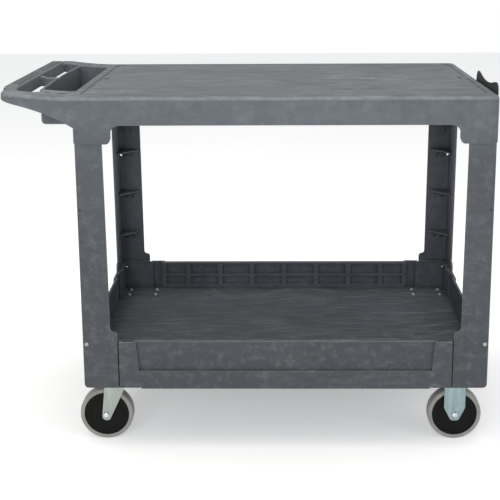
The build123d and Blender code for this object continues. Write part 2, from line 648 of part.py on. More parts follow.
washer_thickness = 1.5
shank = bolt_diameter / 2 - 0.1
head_z = tub_floor + washer_thickness
plate_low = leg_bottom - plate_thickness
nut_height = 6.5
nut_across = 13.0
bolt_end = plate_low - nut_height - 2
caster_bolt = turned([(0, bolt_end), (shank - 1, bolt_end), (shank, bolt_end + 1), (shank, head_z), (6.5, head_z),
                      (6.5, head_z + 0.7)], rise=2.6)
all_bolts = [place for x_side, y_side in casters for place in bolt_places(x_side, y_side)]

with BuildPart() as caster_bolt_set:
    with Locations([(x, y, 0) for x, y in all_bolts]):
        add(caster_bolt)
save(caster_bolt_set.part, "caster_bolts")

with BuildPart() as caster_washer_set:
    with BuildSketch(Plane.XY.offset(tub_floor)):
        with Locations(all_bolts):
            Circle(8.5)
            Circle(bolt_diameter / 2 + 0.1, mode=Mode.SUBTRACT)
    extrude(amount=washer_thickness)
save(caster_washer_set.part, "caster_washers")

with BuildPart() as caster_nut_set:
    with BuildSketch(Plane.XY.offset(plate_low)):
        with Locations(all_bolts):
            RegularPolygon(nut_across / 2, 6, major_radius=False)
            Circle(bolt_diameter / 2, mode=Mode.SUBTRACT)
    extrude(amount=-nut_height)
save(caster_nut_set.part, "caster_nuts")


# ---- casters ----

axle_z = wheel_radius
inner_face = fork_gap / 2
outer_face = inner_face + fork_wall
axle_radius = 4.0
sleeve_radius = 6.0
running = 0.05                 # radial clearance where something turns
race_radius = 30.0
cup_radius = 28.0
cup_low = 134.5                # between the fork's crown and its ball cup
cup_top = 137.5
ball_radius = 2.5
pin_radius = 6.0
tip_radius = 12.0


# the mounting plate with its four bolt holes, centred on the caster
with BuildPart(mode=Mode.PRIVATE) as mounting_plate:
    with BuildSketch(Plane.XY.offset(plate_low)):
        RectangleRounded(95, 67, 6)
        with Locations(caster_bolts):
            Circle(bolt_diameter / 2 + 0.3, mode=Mode.SUBTRACT)
    extrude(amount=plate_thickness)


def axle_hole(x):
    """The hole for an axle bolt through both sides of a fork."""
    with Locations(Plane((x, 50, axle_z), z_dir=(0, -1, 0))):
        Cylinder(axle_radius + 0.1, 100, align=(Align.CENTER, Align.CENTER, Align.MIN), mode=Mode.SUBTRACT)


def place_on(piece, x, y, name):
    """Move a caster piece to its caster and save it."""
    save(piece.moved(Location((x, y, 0))), name)


# swivel caster, drawn round its kingpin
with BuildPart() as swivel_plate:
    add(mounting_plate.part)
    with BuildSketch(Plane.XY.offset(plate_low)):
        Circle(race_radius)
    extrude(amount=-2.5)
    with BuildSketch(Plane.XY.offset(plate_low - 2.5)):
        Circle(race_radius)
        Circle(race_radius - 1.5, mode=Mode.SUBTRACT)
    extrude(amount=-2.5)
    with Locations((0, 0, plate_low - 10)):
        Cylinder(pin_radius, 30, align=(Align.CENTER, Align.CENTER, Align.MIN), mode=Mode.SUBTRACT)

kingpin = turned([(0, 128), (7.5, 128), (9, 129.5), (9, 130.7), (pin_radius, 130.7), (pin_radius, 148),
                  (0, 148)])

with BuildPart() as balls:
    with PolarLocations(22, 20):
        with Locations((0, 0, cup_top + ball_radius)):
            Sphere(ball_radius)

with BuildPart() as fork:
    with BuildSketch(Plane.XZ):
        with Locations((-caster_trail, axle_z - 2)):
            Circle(tip_radius)
        with BuildLine():
            Polyline((-25.3, 126), (-25.3, cup_low), (19.7, cup_low), (17.7, 124), (-20, 110), close=True)
        make_face()
        make_hull()
    extrude(amount=outer_face, both=True)
    fillet(fork.edges().filter_by(Axis.X).group_by(Axis.Z)[-1], radius=5)
    block(-80, 60, -inner_face, inner_face, 0, cup_low - 3.5, mode=Mode.SUBTRACT)
    with Locations((0, 0, cup_low - 1)):
        Cylinder(cup_radius, cup_top - cup_low + 1, align=(Align.CENTER, Align.CENTER, Align.MIN))
    with Locations((0, 0, 120)):
        Cylinder(pin_radius + running, 30, align=(Align.CENTER, Align.CENTER, Align.MIN), mode=Mode.SUBTRACT)
    axle_hole(-caster_trail)

# rigid caster, drawn round its axle
with BuildPart() as bracket:
    add(mounting_plate.part)
    with BuildSketch(Plane.XZ):
        with Locations((0, axle_z)):
            Circle(14.5)
        with Locations((-1, 114)):
            Rectangle(49.5, 67)
        make_hull()
    extrude(amount=outer_face, both=True)
    block(-60, 60, -inner_face, inner_face, 0, plate_low, mode=Mode.SUBTRACT)
    for side in sides:
        with BuildSketch(Plane.XZ.offset(-side * outer_face)):
            with Locations((-0.2, 112)):
                RectangleRounded(33, 50, 5)
        extrude(amount=side * 1, mode=Mode.SUBTRACT)
    axle_hole(0)

# axle parts, drawn round the axle with the bolt head towards -Y
domed_pin = turned([(0, -2 * outer_face - 9), (axle_radius, -2 * outer_face - 9), (axle_radius, 0), (7.5, 0),
                    (7.5, 1)], rise=4.3)
with BuildPart() as axle_bolt:
    with Locations(Plane((0, -outer_face, 0), z_dir=(0, -1, 0))):
        add(domed_pin)
with BuildPart() as axle_nut:
    with BuildSketch(Plane.XZ.offset(-outer_face)):
        RegularPolygon(nut_across / 2, 6, major_radius=False)
        Circle(axle_radius, mode=Mode.SUBTRACT)
    extrude(amount=-nut_height)
with BuildPart() as sleeve:
    with BuildSketch(Plane.XZ):
        Circle(sleeve_radius)
        Circle(axle_radius + 0.1, mode=Mode.SUBTRACT)
    extrude(amount=inner_face, both=True)

# wheel: grey tyre on a black hub
half_width = wheel_width / 2
hub_radius = hub_diameter / 2
with BuildPart() as tyre:
    with BuildSketch(Plane.XZ):
        Circle(wheel_radius)
        Circle(hub_radius, mode=Mode.SUBTRACT)
    extrude(amount=half_width, both=True)
    fillet(tyre.edges().filter_by(GeomType.CIRCLE).filter_by(lambda edge: edge.radius > hub_radius + 1), radius=4.5)
with BuildPart() as hub:
    with BuildSketch(Plane.XZ):
        Circle(hub_radius)
    extrude(amount=half_width - 1.5, both=True)
    for side in sides:
        with BuildSketch(Plane.XZ.offset(-side * (half_width - 1.5))):
            Circle(42)
            Circle(15, mode=Mode.SUBTRACT)
        extrude(amount=side * 6, mode=Mode.SUBTRACT)
    with BuildSketch(Plane.XZ):
        Circle(13)
    extrude(amount=inner_face - 1, both=True)
    with Locations(Plane((0, -30, 0), z_dir=(0, 1, 0))):
        Cylinder(sleeve_radius + running, 60, align=(Align.CENTER, Align.CENTER, Align.MIN), mode=Mode.SUBTRACT)

for y_side, word in ((-1, "front"), (1, "back")):
    y = y_side * caster_mid_y
    swivel_x = leg_mid - caster_mid_x
    rigid_x = leg_mid + caster_mid_x
    place_on(swivel_plate.part, swivel_x, y, f"{word}_left_plate")
    place_on(kingpin, swivel_x, y, f"{word}_left_kingpin")
    place_on(balls.part, swivel_x, y, f"{word}_left_balls")
    place_on(fork.part, swivel_x, y, f"{word}_left_fork")
    place_on(bracket.part, rigid_x, y, f"{word}_right_bracket")
    for x, corner in ((swivel_x - caster_trail, f"{word}_left"), (rigid_x, f"{word}_right")):
        turn = Location((x, y, axle_z), (0, 0, 0 if y_side < 0 else 180))
        for piece, name in ((axle_bolt, "axle_bolt"), (axle_nut, "axle_nut"), (sleeve, "axle_sleeve"),
                            (tyre, "tyre"), (hub, "hub")):
            save(piece.part.moved(turn), f"{corner}_{name}")
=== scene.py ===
import json
import math

import bmesh
import bpy
from mathutils import Matrix, Vector


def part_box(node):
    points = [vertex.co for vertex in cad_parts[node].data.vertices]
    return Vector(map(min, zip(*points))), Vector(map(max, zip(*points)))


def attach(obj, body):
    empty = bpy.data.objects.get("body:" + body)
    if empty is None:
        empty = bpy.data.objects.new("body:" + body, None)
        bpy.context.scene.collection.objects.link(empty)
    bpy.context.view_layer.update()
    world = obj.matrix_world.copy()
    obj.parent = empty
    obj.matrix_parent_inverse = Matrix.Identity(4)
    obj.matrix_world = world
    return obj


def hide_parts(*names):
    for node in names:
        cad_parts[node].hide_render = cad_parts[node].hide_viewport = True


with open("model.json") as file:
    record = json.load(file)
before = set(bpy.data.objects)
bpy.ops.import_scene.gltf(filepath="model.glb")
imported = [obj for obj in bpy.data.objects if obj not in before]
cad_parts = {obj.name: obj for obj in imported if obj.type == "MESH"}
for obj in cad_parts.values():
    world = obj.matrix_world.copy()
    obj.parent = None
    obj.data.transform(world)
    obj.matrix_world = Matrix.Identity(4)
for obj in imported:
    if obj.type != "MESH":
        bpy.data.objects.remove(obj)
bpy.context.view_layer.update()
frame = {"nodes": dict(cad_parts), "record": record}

MM = 0.001

# ---- camera: the photograph's viewing angle ----
CAMERA_PLACE = Vector((68.86, -2706.5, 1166.2)) * MM
CAMERA_YAW = math.radians(-0.760)
CAMERA_PITCH = math.radians(12.510)      # downwards
CAMERA_ROLL = math.radians(-0.282)
CAMERA_LENS = 78.46                      # on a 36 mm sensor
CAMERA_SHIFT = (-0.0320, -0.1330)


# ---- shader helpers ----

def new_material(name):
    """A material with its node tree emptied to a Principled shader and an output."""
    material = bpy.data.materials.new(name)
    material.use_nodes = True
    tree = material.node_tree
    tree.nodes.clear()
    output = tree.nodes.new("ShaderNodeOutputMaterial")
    shader = tree.nodes.new("ShaderNodeBsdfPrincipled")
    tree.links.new(shader.outputs["BSDF"], output.inputs["Surface"])
    return material, tree, shader


def add_node(tree, kind, **values):
    """A node with some of its properties and unlinked inputs set."""
    node = tree.nodes.new(kind)
    for key, value in values.items():
        if hasattr(node, key):
            setattr(node, key, value)
        else:
            node.inputs[key.replace("_", " ")].default_value = value
    return node


def object_coordinates(tree, scale=(1, 1, 1)):
    """Texture coordinates in metres, stretched by scale."""
    source = tree.nodes.new("ShaderNodeTexCoord")
    mapping = tree.nodes.new("ShaderNodeMapping")
    mapping.inputs["Scale"].default_value = scale
    tree.links.new(source.outputs["Object"], mapping.inputs["Vector"])
    return mapping.outputs["Vector"]


def noise(tree, vector, scale, detail=4.0, roughness=0.55, distortion=0.0):
    """A noise texture's value."""
    node = add_node(tree, "ShaderNodeTexNoise", Scale=scale, Detail=detail, Roughness=roughness,
                    Distortion=distortion)
    tree.links.new(vector, node.inputs["Vector"])
    return node.outputs["Fac"]


def ramp(tree, value, low, high, out_low=0.0, out_high=1.0):
    """Value from low..high taken to out_low..out_high, clamped, with soft ends."""
    node = tree.nodes.new("ShaderNodeMapRange")
    node.interpolation_type = "SMOOTHSTEP"
    tree.links.new(value, node.inputs["Value"])
    node.inputs["From Min"].default_value = low
    node.inputs["From Max"].default_value = high
    node.inputs["To Min"].default_value = out_low
    node.inputs["To Max"].default_value = out_high
    return node.outputs["Result"]


def calculate(tree, operation, first, second):
    """A Math node; either input may be a number or a socket."""
    node = tree.nodes.new("ShaderNodeMath")
    node.operation = operation
    for index, value in enumerate((first, second)):
        if isinstance(value, (int, float)):
            node.inputs[index].default_value = value
        else:
            tree.links.new(value, node.inputs[index])
    return node.outputs["Value"]


def mix_colours(tree, factor, first, second, blend="MIX"):
    """A colour mix; the colours are sockets or RGB triples."""
    node = tree.nodes.new("ShaderNodeMix")
    node.data_type = "RGBA"
    node.blend_type = blend
    if isinstance(factor, (int, float)):
        node.inputs[0].default_value = factor
    else:
        tree.links.new(factor, node.inputs[0])
    for socket, colour in ((node.inputs[6], first), (node.inputs[7], second)):
        if isinstance(colour, tuple):
            socket.default_value = (*colour, 1.0)
        else:
            tree.links.new(colour, socket)
    return node.outputs[2]


def split(tree, vector):
    """The X, Y and Z parts of a vector socket."""
    parts = tree.nodes.new("ShaderNodeSeparateXYZ")
    tree.links.new(vector, parts.inputs["Vector"])
    return parts.outputs["X"], parts.outputs["Y"], parts.outputs["Z"]


def crevices(tree, reach, low, high):
    """1 in corners and narrow gaps and 0 in the open, from how much of the surroundings is hidden."""
    hidden = add_node(tree, "ShaderNodeAmbientOcclusion", samples=6, Distance=reach)
    return ramp(tree, hidden.outputs["AO"], high, low)


def shade(colour, factor):
    """A colour made darker or lighter, up to white."""
    return tuple(min(1.0, factor * channel) for channel in colour)


def multiply(tree, *factors):
    """The product of two or more sockets or numbers."""
    product = factors[0]
    for factor in factors[1:]:
        product = calculate(tree, "MULTIPLY", product, factor)
    return product


def distance(tree, value, middle):
    """How far a socket's value is from a number."""
    return calculate(tree, "ABSOLUTE", calculate(tree, "SUBTRACT", value, middle), 0.0)


def edge_mask(tree, radius):
    """1 on sharp edges and 0 on flat faces, and the rounded normal it comes from."""
    bevel = add_node(tree, "ShaderNodeBevel", samples=4, Radius=radius)
    geometry = tree.nodes.new("ShaderNodeNewGeometry")
    dot = tree.nodes.new("ShaderNodeVectorMath")
    dot.operation = "DOT_PRODUCT"
    tree.links.new(bevel.outputs["Normal"], dot.inputs[0])
    tree.links.new(geometry.outputs["Normal"], dot.inputs[1])
    return ramp(tree, dot.outputs["Value"], 0.995, 0.86), bevel.outputs["Normal"]


def bump(tree, shader, heights, rounded=None):
    """Bump nodes in a chain, from (height socket, strength, distance) rows."""
    normal = rounded
    for height, strength, distance in heights:
        node = add_node(tree, "ShaderNodeBump", Strength=strength, Distance=distance)
        tree.links.new(height, node.inputs["Height"])
        if normal:
            tree.links.new(normal, node.inputs["Normal"])
        normal = node.outputs["Normal"]
    tree.links.new(normal, shader.inputs["Normal"])


# ---- materials ----

# places that the plastic's colour follows for its painted shade and highlight, in metres: a pair runs from no
# effect to full effect
GRIP_SIDE_X = (-0.5242, -0.5255)
GRIP_BASE_Z = (0.8488, 0.8494)
GROOVE_Z = (0.8517, 0.8502)
RIDGE_Z = (0.8512, 0.8519)
DECK_LINE_Y = 0.3143                     # the painted shade line in the fine groove along each long side of the deck
DECK_LINE_WIDTH = (0.0022, 0.0010)
DECK_LINE_Z = (0.8330, 0.8340)
DECK_LINE_X = (-0.340, -0.332)


def tone_and_painted_shade(tree, place, base, upward):
    """Slow random changes of tone, and painted shade: lighter up at the deck and at the back, darker down at
    the feet.
    """
    across, height = split(tree, place)[1:]
    patches = noise(tree, place, 5.5, detail=4, distortion=0.6)
    colour = mix_colours(tree, ramp(tree, patches, 0.3, 0.7), shade(base, 0.90), shade(base, 1.10))
    # painted shade: darker just below the deck and towards the feet, less on faces that look up and at the
    # back
    below_deck = ramp(tree, height, 0.80, 0.66, 0.0, 0.50)
    near_feet = ramp(tree, height, 0.62, 0.20, 0.0, 0.28)
    not_upward = ramp(tree, upward, 0.0, 1.0, 1.0, 0.2)
    not_at_back = ramp(tree, across, 0.05, 0.3, 1.0, 0.45)
    painted_low_shade = multiply(tree, calculate(tree, "ADD", below_deck, near_feet), not_upward, not_at_back)
    return mix_colours(tree, painted_low_shade, colour, shade(base, 0.3))


def flow_marks(tree, place, colour, base, streak_and_highlight, flow, on_top):
    """Flow swirls, and fine long streaks along the cart, mostly on faces that look up."""
    band = ramp(tree, distance(tree, flow, 0.5), 0.035, 0.0)
    where = ramp(tree, noise(tree, place, 3.2, detail=2, distortion=0.4), 0.44, 0.68)
    colour = mix_colours(tree, multiply(tree, band, where, on_top, 0.5), colour, streak_and_highlight)
    drawn_out = object_coordinates(tree, (0.12, 1.0, 0.5))
    grainy = noise(tree, drawn_out, 95.0, detail=5, roughness=0.6, distortion=0.8)
    pale = multiply(tree, ramp(tree, grainy, 0.46, 0.72, 0.0, 0.5), on_top)
    colour = mix_colours(tree, pale, colour, streak_and_highlight)
    dark = multiply(tree, ramp(tree, grainy, 0.5, 0.28, 0.0, 0.4), on_top)
    return mix_colours(tree, dark, colour, shade(base, 0.55))


def groove_shade_and_highlight(tree, place, colour, base, streak_and_highlight):
    """Painted shade in the grooves between the ribs of the grip and a painted highlight on their ridges, and
    a painted shade line in the fine groove along each long side of the deck.
    """
    along, across, height = split(tree, place)
    grip = multiply(tree, ramp(tree, along, *GRIP_SIDE_X), ramp(tree, height, *GRIP_BASE_Z))
    # painted shade in the grip's grooves, painted highlight on its ridges
    groove_shade = multiply(tree, grip, ramp(tree, height, *GROOVE_Z, 0.0, 0.8))
    ridge_highlight = multiply(tree, grip, ramp(tree, height, *RIDGE_Z, 0.0, 0.35))
    colour = mix_colours(tree, ridge_highlight, colour, streak_and_highlight)
    # painted shade line in the fine groove along each long side of the deck
    beside = distance(tree, calculate(tree, "ABSOLUTE", across, 0.0), DECK_LINE_Y)
    side_groove_shade = multiply(tree, ramp(tree, beside, *DECK_LINE_WIDTH, 0.0, 0.65),
                         ramp(tree, height, *DECK_LINE_Z), ramp(tree, along, *DECK_LINE_X))
    return mix_colours(tree, calculate(tree, "MAXIMUM", groove_shade, side_groove_shade), colour, shade(base, 0.3))


def foam_plastic(name, base, streak_and_highlight):
    """Structural foam plastic: mottled grey, faint flow swirls, round edges paler from wear and a painted
    highlight, painted shade low down, in corners and in grooves, a fine moulded grain.
    """
    material, tree, shader = new_material(name)
    place = object_coordinates(tree)
    lift = split(tree, tree.nodes.new("ShaderNodeTexCoord").outputs["Normal"])[2]
    upward = ramp(tree, lift, 0.5, 0.9)
    on_top = ramp(tree, upward, 0.0, 1.0, 0.12, 1.0)
    colour = tone_and_painted_shade(tree, place, base, upward)
    # mottling a few centimetres across
    mottle = noise(tree, place, 46.0, detail=8, roughness=0.7, distortion=0.35)
    colour = mix_colours(tree, ramp(tree, mottle, 0.45, 0.75, 0.0, 0.24), colour, streak_and_highlight)
    colour = mix_colours(tree, ramp(tree, mottle, 0.5, 0.25, 0.0, 0.28), colour, shade(base, 0.5))
    stretched = object_coordinates(tree, (0.35, 0.8, 1.6))
    flow = noise(tree, stretched, 9.0, detail=8, roughness=0.6, distortion=1.3)
    colour = flow_marks(tree, place, colour, base, streak_and_highlight, flow, on_top)
    colour = groove_shade_and_highlight(tree, place, colour, base, streak_and_highlight)
    # fine speckle
    speckle = noise(tree, place, 900.0, detail=2)
    colour = mix_colours(tree, ramp(tree, speckle, 0.35, 0.75, 0.0, 0.16), colour, shade(base, 0.45))
    # paler edges and rounded rims: partly wear, partly a painted highlight on the edges and sloped rims
    mask, rounded = edge_mask(tree, 1.6 * MM)
    blotches = ramp(tree, noise(tree, place, 60.0, detail=5), 0.35, 0.65, 0.55, 1.0)
    rim = multiply(tree, ramp(tree, lift, 0.02, 0.3), ramp(tree, lift, 0.97, 0.6))
    wear_and_highlight = calculate(tree, "MAXIMUM", multiply(tree, rim, 0.36), multiply(tree, mask, 0.5))
    colour = mix_colours(tree, multiply(tree, wear_and_highlight, blotches), colour, shade(streak_and_highlight, 1.35))
    # painted shade gathered in corners and narrow gaps
    corner_shade = multiply(tree, crevices(tree, 10 * MM, 0.35, 0.75), 0.7)
    colour = mix_colours(tree, corner_shade, colour, shade(base, 0.25))
    tree.links.new(colour, shader.inputs["Base Color"])
    tree.links.new(ramp(tree, mottle, 0.3, 0.75, 0.56, 0.74), shader.inputs["Roughness"])
    shader.inputs["Specular IOR Level"].default_value = 0.3
    grain = noise(tree, place, 420.0, detail=4)
    bump(tree, shader, ((flow, 0.08, 0.6 * MM), (mottle, 0.12, 0.6 * MM), (grain, 0.12, 0.12 * MM)), rounded)
    return material


def zinc(name, base):
    """Zinc-plated steel with a faint spangle, fine scratches and a painted highlight on its edges."""
    material, tree, shader = new_material(name)
    place = object_coordinates(tree)
    spangle = add_node(tree, "ShaderNodeTexVoronoi", Scale=170.0, Randomness=1.0)
    tree.links.new(place, spangle.inputs["Vector"])
    cells = ramp(tree, spangle.outputs["Distance"], 0.0, 0.9)
    colour = mix_colours(tree, cells, shade(base, 0.96), shade(base, 1.03))
    clouds = noise(tree, object_coordinates(tree, (1.0, 1.0, 0.15)), 60.0, detail=5, distortion=0.3)
    colour = mix_colours(tree, ramp(tree, clouds, 0.42, 0.7, 0.0, 0.22), colour, (0.70, 0.76, 0.76))
    mask, rounded = edge_mask(tree, 0.7 * MM)
    # painted highlight: sharp edges mixed toward near-white
    colour = mix_colours(tree, multiply(tree, mask, 0.6), colour, (0.9, 0.92, 0.9))
    tree.links.new(colour, shader.inputs["Base Color"])
    shader.inputs["Metallic"].default_value = 0.85
    tree.links.new(ramp(tree, clouds, 0.3, 0.7, 0.30, 0.46), shader.inputs["Roughness"])
    scratches = noise(tree, object_coordinates(tree, (1.0, 1.0, 0.06)), 900.0, detail=3)
    bump(tree, shader, ((clouds, 0.08, 0.3 * MM), (scratches, 0.08, 0.05 * MM)), rounded)
    return material


def rubber(name, base):
    """Grey rubber tread: dusty, with darker scuffs round it and a fine grain."""
    material, tree, shader = new_material(name)
    place = object_coordinates(tree)
    patches = noise(tree, place, 26.0, detail=5, distortion=0.5)
    colour = mix_colours(tree, ramp(tree, patches, 0.3, 0.72), shade(base, 0.86), shade(base, 1.1))
    dirt = noise(tree, object_coordinates(tree, (1.0, 0.35, 1.0)), 110.0, detail=6, roughness=0.7)
    colour = mix_colours(tree, ramp(tree, dirt, 0.55, 0.8, 0.0, 0.35), colour, shade(base, 0.4))
    tree.links.new(colour, shader.inputs["Base Color"])
    tree.links.new(ramp(tree, patches, 0.3, 0.7, 0.5, 0.66), shader.inputs["Roughness"])
    shader.inputs["Specular IOR Level"].default_value = 0.4
    bump(tree, shader, ((dirt, 0.10, 0.15 * MM), (noise(tree, place, 1400.0, detail=2), 0.08, 0.05 * MM)))
    return material


def plain_finish(name, base, roughness, metallic, dust_and_highlight, specular=0.5):
    """A hard, nearly even finish with faint patches, dust in places, a painted highlight tinting its edges
    toward the dust colour, and a fine grain.
    """
    material, tree, shader = new_material(name)
    place = object_coordinates(tree)
    patches = noise(tree, place, 60.0, detail=4, distortion=0.4)
    colour = mix_colours(tree, ramp(tree, patches, 0.3, 0.7), shade(base, 0.8), shade(base, 1.2))
    specks = noise(tree, place, 240.0, detail=6, roughness=0.7)
    colour = mix_colours(tree, ramp(tree, specks, 0.56, 0.8, 0.0, 0.3), colour, dust_and_highlight)
    mask, rounded = edge_mask(tree, 0.5 * MM)
    # painted highlight: edges tinted toward the dust colour, lighter on the dark finishes
    colour = mix_colours(tree, multiply(tree, mask, 0.35), colour, dust_and_highlight)
    tree.links.new(colour, shader.inputs["Base Color"])
    shader.inputs["Metallic"].default_value = metallic
    shader.inputs["Specular IOR Level"].default_value = specular
    spread = ramp(tree, patches, 0.3, 0.7, roughness - 0.06, roughness + 0.06)
    tree.links.new(spread, shader.inputs["Roughness"])
    bump(tree, shader, ((specks, 0.06, 0.06 * MM),), rounded)
    return material


graphite = foam_plastic("graphite_plastic", (0.112, 0.123, 0.138), (0.26, 0.275, 0.285))
zinc_steel = zinc("zinc_steel", (0.33, 0.365, 0.335))
blue_zinc = zinc("blue_zinc_steel", (0.25, 0.335, 0.355))
bolt_steel = zinc("bolt_steel", (0.42, 0.43, 0.42))
chrome = plain_finish("polished_steel", (0.60, 0.62, 0.64), 0.12, 1.0, (0.5, 0.5, 0.48))
grey_tyre = rubber("grey_tyre", (0.27, 0.265, 0.25))
black_plastic = plain_finish("black_plastic", (0.005, 0.005, 0.0045), 0.5, 0.0, (0.028, 0.027, 0.024), 0.12)
black_metal = plain_finish("black_metal", (0.014, 0.014, 0.015), 0.45, 0.2, (0.10, 0.10, 0.10))

MATERIALS = {"graphite_plastic": graphite, "zinc_steel": zinc_steel, "bolt_steel": bolt_steel,
             "grey_tyre": grey_tyre, "black_plastic": black_plastic, "black_metal": black_metal}
SLOT_OF = {part["node"]: part["material_slot"] for part in frame["record"]["subparts"]}

for node_name, node in frame["nodes"].items():
    node.data.materials.clear()
    node.data.materials.append(MATERIALS[SLOT_OF[node_name]])


# ---- mesh helpers ----

def rounded_path(corners, steps=6):
    """Points round a closed polygon given as (x, y, corner radius) rows."""
    points = []
    count = len(corners)
    for index, (x, y, radius) in enumerate(corners):
        corner = Vector((x, y))
        if radius == 0:
            points.append(corner)
            continue
        back = (Vector(corners[index - 1][:2]) - corner).normalized()
        ahead = (Vector(corners[(index + 1) % count][:2]) - corner).normalized()
        half = back.angle(ahead) / 2
        centre = corner + (back + ahead).normalized() * (radius / math.sin(half))
        start = corner + back * (radius / math.tan(half)) - centre
        turn = start.angle_signed(corner + ahead * (radius / math.tan(half)) - centre)
        for step in range(steps + 1):
            angle = -turn * step / steps
            points.append(centre + Vector((start.x * math.cos(angle) - start.y * math.sin(angle),
                                           start.x * math.sin(angle) + start.y * math.cos(angle))))
    return points


def lathe(mesh, profile, place, segments=64):
    """Adds a closed (radius, along) profile turned about the Y axis, then moved by the matrix place."""
    rings = []
    for step in range(segments):
        angle = 2 * math.pi * step / segments
        rings.append([mesh.verts.new(place @ Vector((r * math.cos(angle), y, r * math.sin(angle))))
                      for r, y in profile])
    for index, ring in enumerate(rings):
        following = rings[(index + 1) % segments]
        for k in range(len(profile)):
            m = (k + 1) % len(profile)
            if profile[k][0] < 1e-7 and profile[m][0] < 1e-7:
                continue
            mesh.faces.new((ring[k], ring[m], following[m], following[k]))


def hex_ring(mesh, across, bore, low, high, place, segments=48):
    """Adds a hexagon nut or head with chamfered corners, its axis along Y."""
    chamfer = across * 0.07

    def hexagon(angle, grow=0.0):
        sector = math.pi / 3
        return (across / 2 + grow) / math.cos((angle + sector / 2) % sector - sector / 2)

    rings = []
    for step in range(segments):
        angle = 2 * math.pi * step / segments
        side = hexagon(angle)
        cap = min(side, across / 2 * 1.01)
        profile = ((bore, low), (cap, low), (side, low + chamfer * (side / cap - 1) * 3),
                   (side, high - chamfer * (side / cap - 1) * 3), (cap, high), (bore, high))
        rings.append([mesh.verts.new(place @ Vector((r * math.cos(angle), y, r * math.sin(angle))))
                      for r, y in profile])
    for index, ring in enumerate(rings):
        following = rings[(index + 1) % segments]
        for k in range(len(ring)):
            m = (k + 1) % len(ring)
            mesh.faces.new((ring[k], ring[m], following[m], following[k]))


def finish_piece(name, mesh, slot_name, body, replaced, smooth_angle=35, material=None):
    """Turns a bmesh into a piece that rides on a body and stands for CAD nodes. Its material is its slot's
    own, unless another is given."""
    bmesh.ops.remove_doubles(mesh, verts=mesh.verts, dist=1e-6)
    bmesh.ops.recalc_face_normals(mesh, faces=mesh.faces)
    for face in mesh.faces:
        face.smooth = True
    data = bpy.data.meshes.new(name)
    mesh.to_mesh(data)
    mesh.free()
    data.set_sharp_from_angle(angle=math.radians(smooth_angle))
    data.materials.append(material or MATERIALS[slot_name])
    piece = bpy.data.objects.new(name, data)
    bpy.context.scene.collection.objects.link(piece)
    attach(piece, body)
    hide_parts(*replaced)
    return piece


def add_bevel(piece, width):
    """Rounds a piece's sharp edges."""
    bevel = piece.modifiers.new("edges", "BEVEL")
    bevel.width = width
    bevel.segments = 3
    bevel.limit_method = "ANGLE"
    bevel.angle_limit = math.radians(40)
    bevel.harden_normals = False


# ---- casters ----

SHEET = 3.0 * MM                         # steel of the forks and brackets
FORK_HALF = 21.5 * MM                    # outer faces of a fork from the middle of its wheel
FORK_TOP = 134.5                         # upper faces, in mm above the floor
BRACKET_TOP = 145.5
FORK_BOTTOM = 49.5
CROWN_DISC = 27 * MM                     # radius of a swivel fork's round crown
PLATE_CORNER = 6 * MM
HEAD_RADIUS = 7.5 * MM                   # axle bolt
HEAD_HEIGHT = 5.3 * MM
HEAD_RIM = 1.2 * MM                      # straight part of the head below its dome
SHANK_RADIUS = 4.0 * MM
SHANK_END = 9 * MM                       # beyond the fork
SHANK_CHAMFER = 0.8 * MM
NUT_ACROSS = 13 * MM
NUT_HEIGHT = 6.5 * MM
SLEEVE_RADIUS = 6.0 * MM
SLEEVE_HALF = 18.5 * MM

# the mesh of a pressed fork
BEND = 5.0 * MM                          # outer radius between a side and the crown
COLUMNS = 28                             # faces across the sheet
SIDE_STEPS = 46
BEND_STEPS = 7
CROWN_STEPS = 14


def middle_of(node):
    """The centre of a CAD node's box."""
    low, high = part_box(node)
    return (low + high) / 2


def millimetres(rows):
    """Profile rows taken from millimetres to metres."""
    return [tuple(value * MM for value in row) for row in rows]


def tyre_profile():
    """Section of the grey tyre: moulded band beside the hub, round shoulders, a faint parting line."""
    half = [(53.5, -15.2, 0.3), (54.6, -15.9, 0.4), (56.6, -15.9, 0.3), (57.2, -15.3, 0.2),
            (57.8, -15.9, 0.3), (63.3, -15.9, 4.2), (63.3, -0.8, 0), (63.5, -0.3, 0)]
    other = [(r, -y, fillet) for r, y, fillet in reversed(half)]
    return [(point.x, point.y) for point in rounded_path(millimetres(half + other), 5)]


def hub_profile():
    """Section of the black hub: rim band, dished web with a raised ring, boss."""
    half = [(6.05, -17.5, 0), (12.6, -17.5, 0.8), (13.4, -11.0, 1.5), (37.5, -11.6, 2), (39.0, -12.9, 0.6),
            (40.4, -12.9, 0.6), (41.4, -11.8, 0.5), (50.6, -12.2, 0.8), (51.6, -13.6, 0.4),
            (53.5, -13.6, 0.2)]
    other = [(r, -y, fillet) for r, y, fillet in reversed(half)]
    return [(point.x, point.y) for point in rounded_path(millimetres(half + other), 4)]


def wheel(corner):
    """Tyre and hub of one wheel."""
    place = Matrix.Translation(middle_of(f"{corner}_tyre"))
    body = f"{corner}_wheel"
    mesh = bmesh.new()
    lathe(mesh, tyre_profile(), place, 128)
    finish_piece(f"{corner}_tyre_rubber", mesh, "grey_tyre", body, [f"{corner}_tyre"])
    mesh = bmesh.new()
    lathe(mesh, hub_profile(), place, 128)
    finish_piece(f"{corner}_hub_moulding", mesh, "black_plastic", body, [f"{corner}_hub"])


